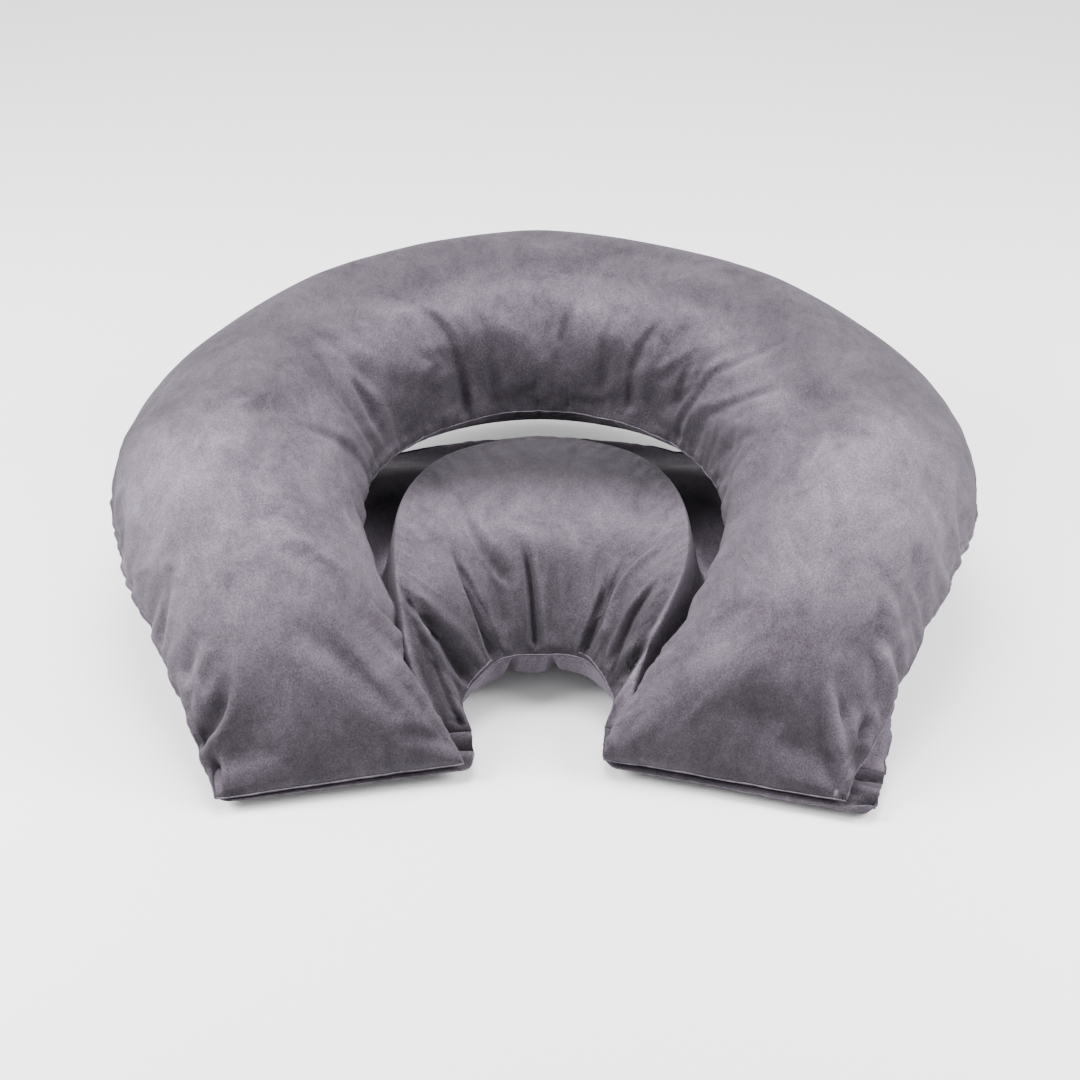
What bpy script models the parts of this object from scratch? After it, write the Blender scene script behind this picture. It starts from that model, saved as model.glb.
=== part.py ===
"""U-shaped twin pillow of grey velvet.

Two filled cushions lie one on the other, and a flat web of their cloth joins them at each leg end.
The upper cushion is a wide horseshoe. The lower one is a U with a small arch, and its crown
swells up into the horseshoe's hole. The legs point along -Y, and Z is up.
"""
from typing import NamedTuple

import bmesh
import bpy
import numpy as np

# Middle of the pillow's outline on the floor, in the frame that the tables below are drawn in.
CENTRE_X = 0.0022
CENTRE_Y = 0.0540

# Points along each cushion's length and around its section.
UPPER_STATIONS = 108
UPPER_AROUND = 28
LOWER_STATIONS = 76
LOWER_AROUND = 40
FINE_STATIONS = 2000

# The legs swell from their flat sewn ends to full thickness over these lengths.
UPPER_END_RUN = 0.200
LOWER_END_RUN = 0.120
END_ROUNDNESS = 2.2
# A power over 1 draws a panel in towards its seams.
UPPER_TOP_POWER = 1.08
UPPER_UNDER_POWER = 1.5
LOWER_TOP_POWER = 1.5
LOWER_UNDER_POWER = 1.0

# Height at which the cushions meet. It falls away towards the leg ends and behind the hole.
MEET_Z = 0.100
MEET_GAP = 0.002
FRONT_FALL = 0.082
FRONT_FALL_FROM_Y = -0.070
FRONT_FALL_RUN = 0.240
BACK_FALL = 0.060
BACK_FALL_FROM_Y = 0.120
BACK_FALL_RUN = 0.180

# The lower cushion's crown inside the hole: its top, and the run of the steep side round it.
CROWN_TOP = 0.176
RIM_RUN = 0.034
PANEL_BLEND = 0.012
# The valley at the foot of that side: its depth as a share of the meeting height, then its place
# and its half widths on both sides in units of the steep side's run.
VALLEY_SHARE = 0.50
VALLEY_AT = -0.40
VALLEY_HALF = 0.50
VALLEY_FAR_HALF = 1.00
VALLEY_RUN = 0.036
# Steps of a panel's grid that lie on the steep side and in the valley, as shares of all its steps.
RIM_FROM = 0.48
RIM_TO = 0.82
RIM_LEAST = 0.02
# The lower panel's belly below the arch seam: how far it stands out, and over what share of the width.
BELLY = 0.013
BELLY_SHARE = 0.13

# The cloth webs that join the leg ends.
WEB_THICKNESS = 0.003
WEB_STEPS_ALONG = 14
WEB_STEPS_DEEP = 4
WEB_SLACK = 0.0012
WEB_WAVES = 3.0

SHARP_ANGLE = np.radians(60)

# Plain colours and roughness of the cloth.
UPPER_COLOUR = (0.16, 0.15, 0.17)
LOWER_COLOUR = (0.15, 0.14, 0.16)
WEB_COLOUR = (0.12, 0.11, 0.13)
COVER_ROUGHNESS = 0.85
WEB_ROUGHNESS = 0.90


class Section(NamedTuple):
    """One section across a cushion, from its inner seam to its outer seam."""
    in_x: float
    in_y: float
    in_z: float
    out_x: float
    out_y: float
    out_z: float
    up: float
    down: float
    rim: float = 1.0


# Columns of a table of sections once it is an array.
INNER = slice(0, 3)
OUTER = slice(3, 6)
INNER_PLAN = slice(0, 2)
OUTER_PLAN = slice(3, 5)
UP, DOWN, RIM = 6, 7, 8


class Fold(NamedTuple):
    """A soft trough in a top panel, or a ridge where the depth is negative."""
    from_x: float
    from_y: float
    to_x: float
    to_y: float
    depth: float
    half_width: float


class Web(NamedTuple):
    """Back and front edge of a cloth web, each from the inner to the outer side."""
    back_in: tuple
    back_out: tuple
    front_in: tuple
    front_out: tuple


UPPER_SECTIONS = [
    Section(-0.077, -0.272, 0.022, -0.315, -0.321, 0.018, 0.070, 0.004),
    Section(-0.108, -0.233, 0.055, -0.340, -0.264, 0.053, 0.090, 0.025),
    Section(-0.138, -0.203, 0.078, -0.366, -0.213, 0.083, 0.101, 0.031),
    Section(-0.149, -0.160, 0.104, -0.390, -0.165, 0.105, 0.108, 0.036),
    Section(-0.182, -0.072, 0.132, -0.432, -0.074, 0.130, 0.118, 0.040),
    Section(-0.188, 0.022, 0.142, -0.452, 0.045, 0.140, 0.124, 0.040),
    Section(-0.160, 0.108, 0.146, -0.408, 0.206, 0.142, 0.130, 0.042),
    Section(-0.092, 0.170, 0.149, -0.264, 0.368, 0.132, 0.149, 0.046),
    Section(-0.002, 0.197, 0.150, 0.000, 0.447, 0.125, 0.160, 0.048),
    Section(0.092, 0.168, 0.149, 0.266, 0.364, 0.132, 0.147, 0.046),
    Section(0.160, 0.104, 0.146, 0.414, 0.203, 0.142, 0.130, 0.042),
    Section(0.188, 0.015, 0.142, 0.457, 0.048, 0.140, 0.124, 0.040),
    Section(0.185, -0.078, 0.132, 0.428, -0.070, 0.130, 0.118, 0.040),
    Section(0.146, -0.158, 0.104, 0.380, -0.165, 0.105, 0.108, 0.036),
    Section(0.092, -0.221, 0.062, 0.336, -0.243, 0.058, 0.092, 0.026),
    Section(0.066, -0.255, 0.034, 0.306, -0.296, 0.036, 0.078, 0.010),
    Section(0.059, -0.265, 0.022, 0.290, -0.326, 0.019, 0.070, 0.004),
]

LOWER_SECTIONS = [
    Section(-0.071, -0.224, 0.026, -0.322, -0.272, 0.018, 0.060, 0.022, 0.12),
    Section(-0.080, -0.192, 0.042, -0.346, -0.160, 0.046, 0.085, 0.050, 0.20),
    Section(-0.053, -0.155, 0.056, -0.345, -0.010, 0.055, 0.098, 0.060, 0.34),
    Section(-0.030, -0.144, 0.060, -0.250, 0.230, 0.045, 0.100, 0.060, 0.49),
    Section(-0.003, -0.142, 0.060, 0.000, 0.335, 0.035, 0.113, 0.060, 0.60),
    Section(0.026, -0.143, 0.060, 0.250, 0.230, 0.045, 0.100, 0.060, 0.49),
    Section(0.048, -0.153, 0.056, 0.345, -0.010, 0.055, 0.098, 0.060, 0.33),
    Section(0.070, -0.189, 0.042, 0.352, -0.160, 0.046, 0.085, 0.050, 0.08),
    Section(0.061, -0.220, 0.026, 0.334, -0.282, 0.018, 0.060, 0.022, 0.03),
]

UPPER_FOLDS = [
    Fold(-0.144, 0.216, -0.087, 0.182, 0.010, 0.011),
    Fold(-0.257, 0.171, -0.193, 0.131, 0.006, 0.010),
    Fold(-0.209, 0.120, -0.180, 0.103, 0.006, 0.009),
    Fold(-0.256, 0.017, -0.197, 0.042, 0.006, 0.010),
    Fold(0.035, 0.237, 0.022, 0.212, 0.006, 0.010),
    Fold(0.128, 0.204, 0.098, 0.181, 0.006, 0.010),
    Fold(0.269, 0.152, 0.150, 0.130, 0.008, 0.011),
    Fold(0.262, 0.066, 0.159, 0.111, 0.006, 0.010),
    Fold(-0.299, -0.253, -0.336, -0.273, 0.008, 0.012),
    Fold(-0.309, -0.289, -0.317, -0.308, 0.006, 0.010),
    Fold(0.276, -0.246, 0.290, -0.300, -0.006, 0.010),
    Fold(0.314, -0.240, 0.298, -0.290, 0.008, 0.011),
]

LOWER_FOLDS = [
    Fold(-0.078, -0.023, -0.042, -0.083, 0.006, 0.011),
    Fold(-0.087, -0.077, -0.051, -0.148, 0.006, 0.010),
    Fold(-0.022, -0.052, -0.010, -0.130, 0.007, 0.009),
    Fold(0.067, -0.098, 0.046, -0.144, 0.006, 0.012),
    Fold(0.122, -0.075, 0.061, -0.135, -0.005, 0.010),
    Fold(0.118, -0.126, 0.076, -0.163, 0.006, 0.010),
    Fold(-0.142, -0.130, -0.073, -0.176, 0.008, 0.010),
]

WEBS = {
    "hinge_left": Web(
        back_in=(-0.071, -0.2255, 0.0245),
        back_out=(-0.321, -0.2735, 0.0165),
        front_in=(-0.067, -0.271, 0.0150),
        front_out=(-0.314, -0.320, 0.0120),
    ),
    "hinge_right": Web(
        back_in=(0.061, -0.2215, 0.0245),
        back_out=(0.333, -0.2835, 0.0165),
        front_in=(0.059, -0.264, 0.0135),
        front_out=(0.315, -0.339, 0.0110),
    ),
}


def smooth_step(share):
    """Rise from 0 to 1 with level ends."""
    share = np.clip(share, 0.0, 1.0)
    return share * share * (3.0 - 2.0 * share)


def soft_min(first, second, blend):
    """The smaller of two heights, rounded where they cross."""
    share = np.clip(0.5 + 0.5 * (second - first) / blend, 0.0, 1.0)
    return second + (first - second) * share - blend * share * (1.0 - share)


def soft_max(first, second, blend):
    """The larger of two heights, rounded where they cross."""
    return -soft_min(-first, -second, blend)


def meeting_height(y):
    """Height of the surface on which the upper cushion lies on the lower one."""
    front = FRONT_FALL * smooth_step((FRONT_FALL_FROM_Y - y) / FRONT_FALL_RUN)
    back = BACK_FALL * smooth_step((y - BACK_FALL_FROM_Y) / BACK_FALL_RUN)
    return MEET_Z - front - back


def curve_through(rows, count):
    """Points on a smooth curve through the rows, even in parameter."""
    table = np.asarray(rows, float)
    first = 2.0 * table[0] - table[1]
    last = 2.0 * table[-1] - table[-2]
    padded = np.vstack([first, table, last])
    place = np.linspace(0.0, len(table) - 1.0, count)
    span = np.minimum(place.astype(int), len(table) - 2)
    t = (place - span)[:, None]
    p0, p1, p2, p3 = (padded[span + k] for k in range(4))
    linear = p2 - p0
    square = 2.0 * p0 - 5.0 * p1 + 4.0 * p2 - p3
    cube = 3.0 * p1 - p0 - 3.0 * p2 + p3
    return 0.5 * (2.0 * p1 + linear * t + square * t ** 2 + cube * t ** 3)


def even_sections(rows, count):
    """Sections evenly spaced along the cushion's middle line, with their distance to the nearer end."""
    fine = curve_through(rows, FINE_STATIONS)
    middle = (fine[:, INNER_PLAN] + fine[:, OUTER_PLAN]) / 2.0
    steps = np.linalg.norm(np.diff(middle, axis=0), axis=1)
    run = np.concatenate([[0.0], np.cumsum(steps)])
    places = np.linspace(0.0, run[-1], count)
    columns = [np.interp(places, run, fine[:, k]) for k in range(fine.shape[1])]
    to_end = np.minimum(places, run[-1] - places)
    return np.stack(columns, axis=1), to_end


def swell(to_end, run):
    """Share of full thickness at a distance from the flat sewn end."""
    share = np.clip(to_end / run, 0.0, 1.0)
    return np.sqrt(1.0 - (1.0 - share) ** END_ROUNDNESS)


def section_widths(sections):
    """Distance from the inner to the outer seam, seen in plan."""
    return np.linalg.norm(sections[:, OUTER_PLAN] - sections[:, INNER_PLAN], axis=1)


def width_shares(sections, fullness, around):
    """Places of the ring's points across the width, gathered at the seams and at the crown's rim."""
    half = around // 2
    turn = 2.0 * np.pi * np.arange(around) / around
    plain = (1.0 - np.cos(turn)) / 2.0
    shares = np.tile(plain, (len(sections), 1))
    rim = sections[:, RIM]
    width = section_widths(sections)
    reach = 0.5 * RIM_RUN / width
    step = np.arange(half + 1) / half
    for i, share in enumerate(rim):
        if share >= 1.0:
            continue
        knots = [0.0, RIM_FROM, RIM_TO, 1.0]
        far = share + reach[i] + VALLEY_RUN / width[i]
        places = [0.0, max(share - reach[i], RIM_LEAST), far, 1.0]
        eased = np.interp(step, knots, places)
        start = places[1] * (1.0 - np.cos(np.clip(step / RIM_FROM, 0.0, 1.0) * np.pi / 2.0))
        eased = np.where(step < RIM_FROM, start, eased)
        end_step = np.clip((step - RIM_TO) / (1.0 - RIM_TO), 0.0, 1.0)
        end = places[2] + (1.0 - places[2]) * np.sin(end_step * np.pi / 2.0)
        eased = np.where(step > RIM_TO, end, eased)
        shares[i, :half + 1] = plain[:half + 1] + (eased - plain[:half + 1]) * fullness[i]
    return shares


def cushion_rings(rows, count, around, end_run, top_power, under_power):
    """Rings of points round a cushion, before the cushions press on each other."""
    sections, to_end = even_sections(rows, count)
    fullness = swell(to_end, end_run)
    shares = width_shares(sections, fullness, around)
    inner = sections[:, None, INNER]
    outer = sections[:, None, OUTER]
    rings = inner + (outer - inner) * shares[:, :, None]
    on_top = np.arange(around) <= around // 2
    bow = 2.0 * np.sqrt(np.clip(shares * (1.0 - shares), 0.0, 1.0))
    lift = bow ** np.where(on_top, top_power, under_power)
    panel = np.where(on_top, sections[:, None, UP], -sections[:, None, DOWN])
    rings[:, :, 2] += lift * panel * fullness[:, None]
    return rings, sections, shares, on_top


def ring_normals(rings):
    """Unit normals of the grid of rings, pointing out of the cushion."""
    along = np.gradient(rings, axis=0)
    across = np.roll(rings, -1, axis=1) - np.roll(rings, 1, axis=1)
    normals = np.cross(across, along)
    length = np.linalg.norm(normals, axis=2, keepdims=True)
    normals = normals / np.maximum(length, 1e-9)
    top_row = rings.shape[1] // 4
    outward = np.sign(normals[rings.shape[0] // 2, top_row, 2])
    return normals * outward


def fold_depths(rings, folds):
    """Depth of the folds at each point, seen in plan."""
    depth = np.zeros(rings.shape[:2])
    for fold in folds:
        start = np.array([fold.from_x, fold.from_y])
        run = np.array([fold.to_x, fold.to_y]) - start
        length = np.linalg.norm(run)
        offset = rings[:, :, 0:2] - start
        along = (offset @ run) / length ** 2
        aside = np.abs(offset[:, :, 0] * run[1] - offset[:, :, 1] * run[0]) / length
        beyond = np.maximum(np.maximum(-along, along - 1.0), 0.0) * length
        distance = np.hypot(aside, beyond)
        depth += fold.depth * np.exp(-(distance / fold.half_width) ** 2)
    return depth


def press_folds(rings, folds, shares):
    """Sink the folds into the top panel, shallower at the seams."""
    half = rings.shape[1] // 2
    depth = fold_depths(rings, folds)
    near_seam = np.sqrt(np.clip(4.0 * shares * (1.0 - shares), 0.0, 1.0))
    depth[:, half:] = 0.0
    return rings - ring_normals(rings) * (depth * near_seam)[:, :, None]


def upper_rings():
    """The horseshoe cushion, flat below where it lies on the lower one."""
    rings, _, shares, on_top = cushion_rings(
        UPPER_SECTIONS, UPPER_STATIONS, UPPER_AROUND, UPPER_END_RUN, UPPER_TOP_POWER, UPPER_UNDER_POWER)
    floor = meeting_height(rings[:, :, 1]) + 0.5 * MEET_GAP
    pressed = soft_max(rings[:, :, 2], floor, PANEL_BLEND / 2.0)
    at_seam = np.isin(np.arange(UPPER_AROUND), (0, UPPER_AROUND // 2))
    rings[:, :, 2] = np.where(on_top | at_seam, rings[:, :, 2], pressed)
    return press_folds(rings, UPPER_FOLDS, shares)


def push_belly(rings, sections, shares, on_top):
    """Push the lower panel out below the arch seam, most at the middle of the arch."""
    inward = (sections[:, INNER_PLAN] - sections[:, OUTER_PLAN]) / section_widths(sections)[:, None]
    swing = np.sin(np.pi * np.clip(shares / BELLY_SHARE, 0.0, 1.0))
    along = np.sin(np.pi * np.linspace(0.0, 1.0, len(rings)))
    push = np.where(on_top, 0.0, BELLY * swing * along[:, None])
    rings[:, :, 0:2] += inward[:, None] * push[:, :, None]
    return rings


def lower_rings():
    """The lower cushion, pressed flat under the upper one and swelling up in its hole."""
    rings, sections, shares, on_top = cushion_rings(
        LOWER_SECTIONS, LOWER_STATIONS, LOWER_AROUND, LOWER_END_RUN, LOWER_TOP_POWER, LOWER_UNDER_POWER)
    from_rim = (sections[:, RIM, None] - shares) * section_widths(sections)[:, None]
    inside = from_rim / RIM_RUN + 0.5
    lid = meeting_height(rings[:, :, 1]) - 0.5 * MEET_GAP
    valley_half = np.where(inside > VALLEY_AT, VALLEY_HALF, VALLEY_FAR_HALF)
    valley = VALLEY_SHARE * np.exp(-((inside - VALLEY_AT) / valley_half) ** 2)
    ceiling = lid * (1.0 - valley) + (CROWN_TOP - lid) * smooth_step(inside)
    pressed = soft_min(rings[:, :, 2], ceiling, PANEL_BLEND)
    at_seam = np.isin(np.arange(LOWER_AROUND), (0, LOWER_AROUND // 2))
    rings[:, :, 2] = np.where(on_top & ~at_seam, pressed, rings[:, :, 2])
    rings = push_belly(rings, sections, shares, on_top)
    rings = press_folds(rings, LOWER_FOLDS, shares)
    rings[:, :, 2] = np.maximum(rings[:, :, 2], 0.0)
    return rings


def new_object(name, vertices, faces, material):
    """Make a closed, outward-facing, smooth-shaded object."""
    mesh = bpy.data.meshes.new(name)
    mesh.from_pydata([tuple(point) for point in vertices], [], faces)
    work = bmesh.new()
    work.from_mesh(mesh)
    bmesh.ops.recalc_face_normals(work, faces=work.faces[:])
    if work.calc_volume(signed=True) < 0.0:
        bmesh.ops.reverse_faces(work, faces=work.faces[:])
    work.to_mesh(mesh)
    work.free()
    mesh.shade_smooth()
    mesh.set_sharp_from_angle(angle=SHARP_ANGLE)
    mesh.materials.append(material)
    part = bpy.data.objects.new(name, mesh)
    bpy.context.collection.objects.link(part)
    return part


def velvet(name, colour, roughness):
    """A plain cloth material."""
    material = bpy.data.materials.new(name)
    material.use_nodes = True
    shader = material.node_tree.nodes["Principled BSDF"]
    shader.inputs["Base Color"].default_value = (*colour, 1.0)
    shader.inputs["Roughness"].default_value = roughness
    shader.inputs["Metallic"].default_value = 0.0
    return material


def centred(points):
    """Move points from the drawing frame to the pillow's own origin."""
    return points - np.array([CENTRE_X, CENTRE_Y, 0.0])


def make_cushion(name, rings, material):
    """Skin the rings; at each flat end the top and bottom points are one and the same."""
    count, around, _ = rings.shape
    index = np.arange(count * around).reshape(count, around)
    for end in (0, count - 1):
        for j in range(around // 2 + 1, around):
            index[end, j] = index[end, around - j]
    used, packed = np.unique(index, return_inverse=True)
    packed = packed.reshape(count, around)
    vertices = centred(rings.reshape(-1, 3)[used])
    faces = []
    for i in range(count - 1):
        for j in range(around):
            k = (j + 1) % around
            corners = (packed[i, j], packed[i, k], packed[i + 1, k], packed[i + 1, j])
            faces.append([int(corner) for corner in corners])
    return new_object(name, vertices, faces, material)


def make_web(name, web, material):
    """A thin sheet of cloth between the two cushions' sewn ends, with a little slack in it."""
    along = np.linspace(0.0, 1.0, WEB_STEPS_ALONG + 1)[:, None]
    back = np.array(web.back_in) * (1.0 - along) + np.array(web.back_out) * along
    front = np.array(web.front_in) * (1.0 - along) + np.array(web.front_out) * along
    deep = np.linspace(0.0, 1.0, WEB_STEPS_DEEP + 1)[None, :, None]
    middle = back[:, None, :] * (1.0 - deep) + front[:, None, :] * deep
    wave = np.sin(WEB_WAVES * np.pi * along) * np.sin(np.pi * deep[0].T)
    middle[:, :, 2] += WEB_SLACK * wave
    half = np.array([0.0, 0.0, WEB_THICKNESS / 2.0])
    top = middle + half
    bottom = middle - half
    rows, columns = middle.shape[:2]
    vertices = centred(np.concatenate([top.reshape(-1, 3), bottom.reshape(-1, 3)]))
    under = rows * columns
    faces = []
    for i in range(rows - 1):
        for j in range(columns - 1):
            quad = [i * columns + j, i * columns + j + 1,
                    (i + 1) * columns + j + 1, (i + 1) * columns + j]
            faces.append(quad)
            faces.append([corner + under for corner in reversed(quad)])
    edge = [(i, 0) for i in range(rows)]
    edge += [(rows - 1, j) for j in range(1, columns)]
    edge += [(i, columns - 1) for i in range(rows - 2, -1, -1)]
    edge += [(0, j) for j in range(columns - 2, 0, -1)]
    loop = [i * columns + j for i, j in edge]
    for here, there in zip(loop, loop[1:] + loop[:1]):
        faces.append([here, there, there + under, here + under])
    return new_object(name, vertices, faces, material)


def main():
    """Build the whole pillow."""
    for old in list(bpy.data.objects):
        bpy.data.objects.remove(old, do_unlink=True)
    make_cushion("upper_cushion", upper_rings(), velvet("upper_velvet", UPPER_COLOUR, COVER_ROUGHNESS))
    make_cushion("lower_cushion", lower_rings(), velvet("lower_velvet", LOWER_COLOUR, COVER_ROUGHNESS))
    for name, web in WEBS.items():
        make_web(name, web, velvet(name + "_velvet", WEB_COLOUR, WEB_ROUGHNESS))


main()
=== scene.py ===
"""Looks of the U-shaped twin pillow: grey velvet cushions, their seams, folds and cloth hinges."""
from typing import NamedTuple

import bpy
import numpy as np
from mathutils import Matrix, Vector


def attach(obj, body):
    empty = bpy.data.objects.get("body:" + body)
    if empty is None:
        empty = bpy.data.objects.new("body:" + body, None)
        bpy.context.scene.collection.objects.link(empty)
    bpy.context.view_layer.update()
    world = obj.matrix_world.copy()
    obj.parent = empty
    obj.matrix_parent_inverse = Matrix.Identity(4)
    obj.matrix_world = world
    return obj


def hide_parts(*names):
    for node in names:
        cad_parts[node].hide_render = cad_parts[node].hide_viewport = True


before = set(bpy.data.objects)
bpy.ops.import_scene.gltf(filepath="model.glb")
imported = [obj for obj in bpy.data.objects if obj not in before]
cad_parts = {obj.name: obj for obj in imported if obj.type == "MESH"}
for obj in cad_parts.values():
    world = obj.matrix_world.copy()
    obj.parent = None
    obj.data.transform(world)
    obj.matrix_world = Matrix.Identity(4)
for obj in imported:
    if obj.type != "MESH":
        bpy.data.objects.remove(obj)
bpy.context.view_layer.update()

# Middle of the pillow's outline on the floor, in the frame that the tables below are drawn in.
CENTRE = np.array([0.0022, 0.054, 0.0])

# Stations of the curve through a cushion's sections, and how round its legs' ends swell.
FINE_STATIONS = 3000
END_ROUNDNESS = 2.2

# Height at which the cushions meet. It falls away towards the leg ends and behind the hole.
MEET_Z = 0.1
MEET_GAP = 0.002
FRONT_FALL = 0.082
FRONT_FALL_FROM_Y = -0.07
FRONT_FALL_RUN = 0.24
BACK_FALL = 0.06
BACK_FALL_FROM_Y = 0.12
BACK_FALL_RUN = 0.18

# The lower cushion's crown inside the hole: its top, and the run of its steep side.
CROWN_TOP = 0.176
RIM_RUN = 0.034
PANEL_BLEND = 0.012
# The valley at its foot: the depth as a share of the meeting height, then the place and the half
# widths in units of the steep side's run.
VALLEY_SHARE = 0.5
VALLEY_AT = -0.4
VALLEY_HALF = 0.5
VALLEY_FAR_HALF = 1.0
VALLEY_RUN = 0.036
# Steps of a panel's grid on the steep side and in the valley, as shares of all its steps.
RIM_FROM = 0.48
RIM_TO = 0.82
RIM_LEAST = 0.02
# How far the lower panel stands out below the arch seam, and over what share of the width.
BELLY = 0.013
BELLY_SHARE = 0.13

# Cloth simulation: a negative shrink cuts the cover larger than the filling. Then what is kept of it.
SIM_FRAMES = 22
SIM_SETTINGS = dict(
    quality=5, mass=0.3, tension_stiffness=20.0, compression_stiffness=20.0, shear_stiffness=8.0,
    bending_stiffness=1.2, use_pressure=True, uniform_pressure_force=1.6,
    shrink_min=-0.055, shrink_max=-0.055,
)
WRINKLE_CAP = 0.009
SWELL_BLUR = 9
SWELL_REMOVED = 1.0
UPPER_WRINKLES = 0.65
LOWER_WRINKLES = 0.45

# A fold is a crease with a soft swell beside it, in units of its half width.
FOLD_PIECES = 8
FOLD_REACH = 0.05
FOLD_POWER = 1.35
FOLD_THIN_END = 0.45
FOLD_LEAST_WIDTH = 0.003
FOLD_TAPER = 0.45
FOLD_SWELL = 0.28
FOLD_SWELL_AT = 2.2
FOLD_SWELL_WIDTH = 0.9
SEAM_FADE_RUN = 0.012

# Gathers at the seams: wavelength along the seam, reach across the panel, share of the height.
PUCKER_SCALES = ((0.034, 0.05, 0.9), (0.016, 0.024, 0.6), (0.008, 0.01, 0.3))
PUCKER_START = 0.008
PUCKER_PATCH = 0.09
PUCKER_LEAST = 0.35
# Gathers are round lobes with sharp creases between them.
ROUND_GAIN = 1.7
ROUND_POWER = 0.75
UPPER_INNER_PUCKER = 0.004
UPPER_OUTER_PUCKER = 0.0034
LOWER_INNER_PUCKER = 0.0034
# How far the seams are drawn in and out: pitch along the seam, and share of the size.
SEAM_WAVES = ((0.045, 0.6), (0.02, 0.5), (0.009, 0.25))
WAVE_REACH = 0.03
WAVE_FADE_POWER = 1.5
UPPER_INNER_WAVE = 0.0022
UPPER_OUTER_WAVE = 0.0038
LOWER_OUTER_WAVE = 0.003
# Random seeds, and what is added to them for each kind of wave.
UPPER_SEED = 11
LOWER_SEED = 211
OUTER_PUCKER_SEED = 50
PATCH_SEED = 7
INNER_WAVE_SEED = 20
OUTER_WAVE_SEED = 40
HEM_SEEDS = (60, 70)
LOBE_SEED = 3
WEB_EDGE_SEED = 30
ROLLED_SEED = 20

# The crown's far corners bulge out a little more than in the solid.
CROWN_CORNER = 0.016
CROWN_CORNER_X = 0.18
CROWN_CORNER_HALF = 0.1
# The steep side of the crown is held still in the simulation up to here, in units of its run.
RIM_HELD = 0.7
RIM_FREE_RUN = 0.6

# The lower panel's lobes below the arch seam, and the places where it is gathered.
GATHER_PLACES = (-0.03, 0.008)
LOBE_REACH = 0.055
LOBE_GATHER = 0.0045
LOBE_LIFT = 0.009
LOBE_DROP = 0.004
LOBE_PITCH = 0.022
LOBE_FORWARD = 0.6
ARCH_HALF_WIDTH = 0.075
ARCH_FADE = 0.02
ARCH_FRONT_Y = -0.142
ARCH_DEEP = 0.045

WEB_THICKNESS = 0.0026
WEB_CELLS_ALONG = 150
WEB_CELLS_DEEP = 24
WEB_CREASE = 0.0015
WEB_CREASE_PITCH = 0.016
# The web's back edge is tucked against the lower cushion's sewn end.
WEB_TUCK = (0.0, 0.0024, 0.0008)
# The web's front corners are rounded, and its front edge is uneven.
WEB_ROUND = 0.014
WEB_EDGE_WAVE = 0.0012
WEB_EDGE_PITCH = 0.022
# The sewn ends of the cushions' legs aren't quite straight: pitch along the end, and height.
HEM_WAVES = ((0.06, 0.0012), (0.021, 0.0005))

STITCH_PITCH = 0.0029
STITCH_LENGTH = 0.0014
STITCH_RADIUS = 0.00046
STITCH_OFFSET = (0.0, -0.003, 0.0006)
STITCH_SIDES = 6
STITCH_STEPS = 5
STITCH_ARCH = 1.6
STITCH_SINK = 0.3
STITCH_THIN_END = 0.55
THREAD_SHADE = 2.8

# A second line runs beside the arch seam on both of its sides.
FLANGE_WIDTH = 0.006
FLANGE_LEFT = (-0.082, -0.052)
FLANGE_RIGHT = (0.036, 0.066)
FLANGE_END_Y = -0.185

SEAM_RADIUS = 0.0007
SEAM_ROUGH_PITCH = 0.006
SEAM_ROUGHNESS = 0.35
TUBE_SIDES = 8
SHARP_ANGLE = np.radians(50)
# The least length that a vector is divided by.
TINY = 1e-9

# How far apart the shader nodes are drawn.
NODE_STEP = 200.0
# Velvet colours where the nap lies dark and light.
VELVET_DARK = (0.081, 0.0675, 0.087)
VELVET_LIGHT = (0.15, 0.127, 0.16)
VELVET_SHEEN = 0.1
VELVET_SURFACE = {
    "Roughness": 0.9,
    "Specular IOR Level": 0.15,
    "Sheen Roughness": 0.45,
    "Sheen Tint": (0.97, 0.89, 1.0, 1.0),
}
# Noise of the nap's patches, its strokes and the pile, the part of it that is used, and its shades.
CLOUDS = dict(Scale=11.0, Detail=9.0, Roughness=0.76, Distortion=0.6)
STROKES = dict(Scale=42.0, Detail=8.0, Roughness=0.8, Distortion=1.4)
PILE = dict(Scale=560.0, Detail=3.0, Roughness=0.8)
CLOUD_RANGE = (0.36, 0.64)
GRAIN_RANGE = (0.3, 0.7)
STROKE_SHADES = (0.74, 1.26)
PILE_SHADES = (0.55, 1.45)
STROKE_TURN = (0.2, 0.3, 0.5)
STROKE_STRETCH = (1.0, 0.5, 0.8)
STROKE_BUMP = dict(Strength=0.4, Distance=0.003)
PILE_BUMP = dict(Strength=0.6, Distance=0.0012)
# Painted shade by slope: faces that turn away from this direction are darker. The stored painted shade
# darkens further, to the darkest share, and faces deep in the valley's painted shade take a copy of the
# velvet with less sheen, from this share on.
PAINTED_LIGHT_DIRECTION = (0.0, 0.3, 0.95)
SLOPE_RANGE = (0.1, 0.95)
SLOPE_PAINTED_SHADE = 0.4
DARKEST_PAINTED_SHADE = 0.15
SHADED_COPY_SHEEN = 0.04
SHADED_COPY_FROM = 0.97
# Painted shade on the upper cushion, from inner to outer seam: darker where positive, painted light where
# negative.
BOW_Y = (-0.08, 0.06)
LEG_Y = (-0.2, -0.27)
PAINTED_SHADE_BOW_OUTER = 0.58
PAINTED_SHADE_BOW_INNER = 0.33
PAINTED_LIGHT_ARM = -0.42
PAINTED_SHADE_LEG = 0.36
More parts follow.
